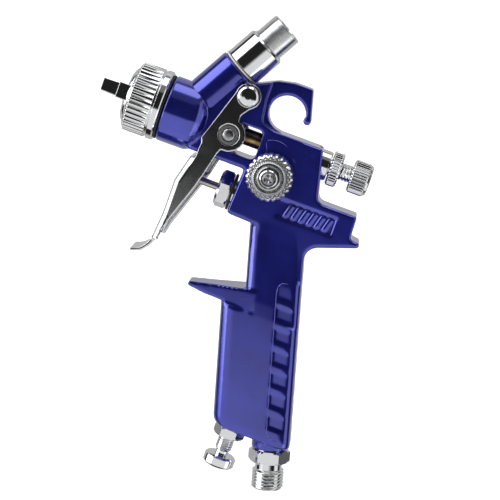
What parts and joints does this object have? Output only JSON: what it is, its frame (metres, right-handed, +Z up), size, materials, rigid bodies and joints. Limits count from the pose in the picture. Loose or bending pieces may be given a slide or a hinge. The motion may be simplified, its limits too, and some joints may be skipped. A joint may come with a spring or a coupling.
{
  "type": "gravity feed spray gun",
  "caption": "Hand-held gravity-feed paint spray gun with cast body, hooked top, trigger, air cap, needle, side dial, grooved grip, regulator and screwed air inlet; no cup or hose.",
  "frame": {"origin": "centre of the round opening of the hanging hook, on the middle plane of the gun", "axes": "+X back along the needle line, from the air cap to the fluid knob; +Z up, square to the needle; -Y the side with the pattern dial"},
  "size_m": [0.1194, 0.0331, 0.1784],
  "materials": {
    "body_paint": "glossy metallic deep blue",
    "chrome": "bright chrome plate",
    "steel": "turned stainless steel",
    "brass": "turned brass",
    "seal": "black rubber",
    "nylon": "off-white nylon"
  },
  "bodies": {
    "gun": {"gun_body": "body_paint", "fluid_nozzle": "steel", "air_baffle": "brass", "head_gasket": "seal", "cup_seal": "nylon", "cup_adapter": "chrome", "inlet_nipple": "chrome", "needle_packing": "nylon", "packing_nut": "brass", "needle_spring": "steel", "fluid_housing": "chrome", "pivot_stud": "chrome", "pivot_screw": "chrome", "pivot_washer_near": "nylon", "pivot_washer_far": "nylon", "valve_nut": "chrome", "valve_washer": "seal", "valve_spring": "steel", "pattern_housing": "chrome", "regulator_nut": "chrome"},
    "cap": {"air_cap": "chrome"},
    "cap_ring": {"air_cap_ring": "chrome"},
    "needle_group": {"needle": "steel", "needle_sleeve": "brass"},
    "fluid_stop": {"needle_stop": "brass"},
    "fluid_control": {"fluid_knob": "chrome"},
    "lock": {"lock_ring": "chrome"},
    "trigger_lever": {"trigger": "chrome"},
    "bar": {"trigger_bar": "steel", "bar_clip_near": "steel", "bar_clip_far": "steel"},
    "air_valve": {"valve_stem": "steel"},
    "pattern_valve": {"pattern_stem": "steel"},
    "pattern_control": {"pattern_dial": "chrome", "dial_screw": "steel"},
    "regulator_valve": {"regulator_plug": "brass"},
    "regulator_control": {"regulator_screw": "chrome"}
  },
  "joints": [
    {"name": "trigger_pull", "type": "hinge", "parent": "gun", "child": "trigger_lever", "pos_m": [-0.0161, 0, 0.0018], "axis": [0, -1, 0], "range_deg": [0, 12], "stiffness_Nm_per_rad": 1, "springref_deg": -14.32},
    {"name": "bar_level", "type": "hinge", "parent": "trigger_lever", "child": "bar", "pos_m": [-0.0183, 0, -0.0146], "axis": [0, -1, 0], "range_deg": [-12.5, 0.5]},
    {"name": "needle_slide", "type": "slide", "parent": "gun", "child": "needle_group", "axis": [1, 0, 0], "range_m": [0, 0.0036], "deforming": ["needle_spring"]},
    {"name": "valve_slide", "type": "slide", "parent": "gun", "child": "air_valve", "axis": [1, 0, 0], "range_m": [0, 0.0081], "deforming": ["valve_spring"]},
    {"name": "cap_turn", "type": "hinge", "parent": "gun", "child": "cap", "pos_m": [-0.0451, 0, -0.0139], "axis": [1, 0, 0], "range_deg": [-90, 90]},
    {"name": "cap_ring_turn", "type": "hinge", "parent": "gun", "child": "cap_ring", "pos_m": [-0.0451, 0, -0.0139], "axis": [1, 0, 0], "range_deg": [0, 90]},
    {"name": "lock_turn", "type": "hinge", "parent": "gun", "child": "lock", "pos_m": [0.0164, 0, -0.0139], "axis": [1, 0, 0], "range_deg": [-45, 45]},
    {"name": "fluid_travel", "type": "slide", "parent": "gun", "child": "fluid_stop", "axis": [1, 0, 0], "range_m": [-0.00187, 0.00187]},
    {"name": "fluid_turn", "type": "hinge", "parent": "fluid_stop", "child": "fluid_control", "pos_m": [0.0164, 0, -0.0139], "axis": [1, 0, 0], "range_deg": [-550, 550]},
    {"name": "pattern_travel", "type": "slide", "parent": "gun", "child": "pattern_valve", "axis": [0, -1, 0], "range_m": [0, 0.0015]},
    {"name": "pattern_turn", "type": "hinge", "parent": "pattern_valve", "child": "pattern_control", "pos_m": [0.002, 0, -0.0245], "axis": [0, -1, 0], "range_deg": [-10, 550]},
    {"name": "regulator_travel", "type": "slide", "parent": "gun", "child": "regulator_valve", "axis": [0, 0, 1], "range_m": [-0.001, 0.002]},
    {"name": "regulator_turn", "type": "hinge", "parent": "regulator_valve", "child": "regulator_control", "pos_m": [0.02121, 0, -0.1244], "axis": [0, 0, 1], "range_deg": [-370, 730]}
  ],
  "couplings": [
    {"joint": "bar_level", "follows": "trigger_pull", "ratio": -1},
    {"joint": "needle_slide", "follows": "trigger_pull", "m_per_rad": 0.0165},
    {"joint": "valve_slide", "follows": "trigger_pull", "m_per_rad": 0.038},
    {"joint": "fluid_turn", "follows": "fluid_travel", "rad_per_m": 5026.5},
    {"joint": "pattern_turn", "follows": "pattern_travel", "rad_per_m": 6283.2},
    {"joint": "regulator_turn", "follows": "regulator_travel", "rad_per_m": 6283.2}
  ]
}
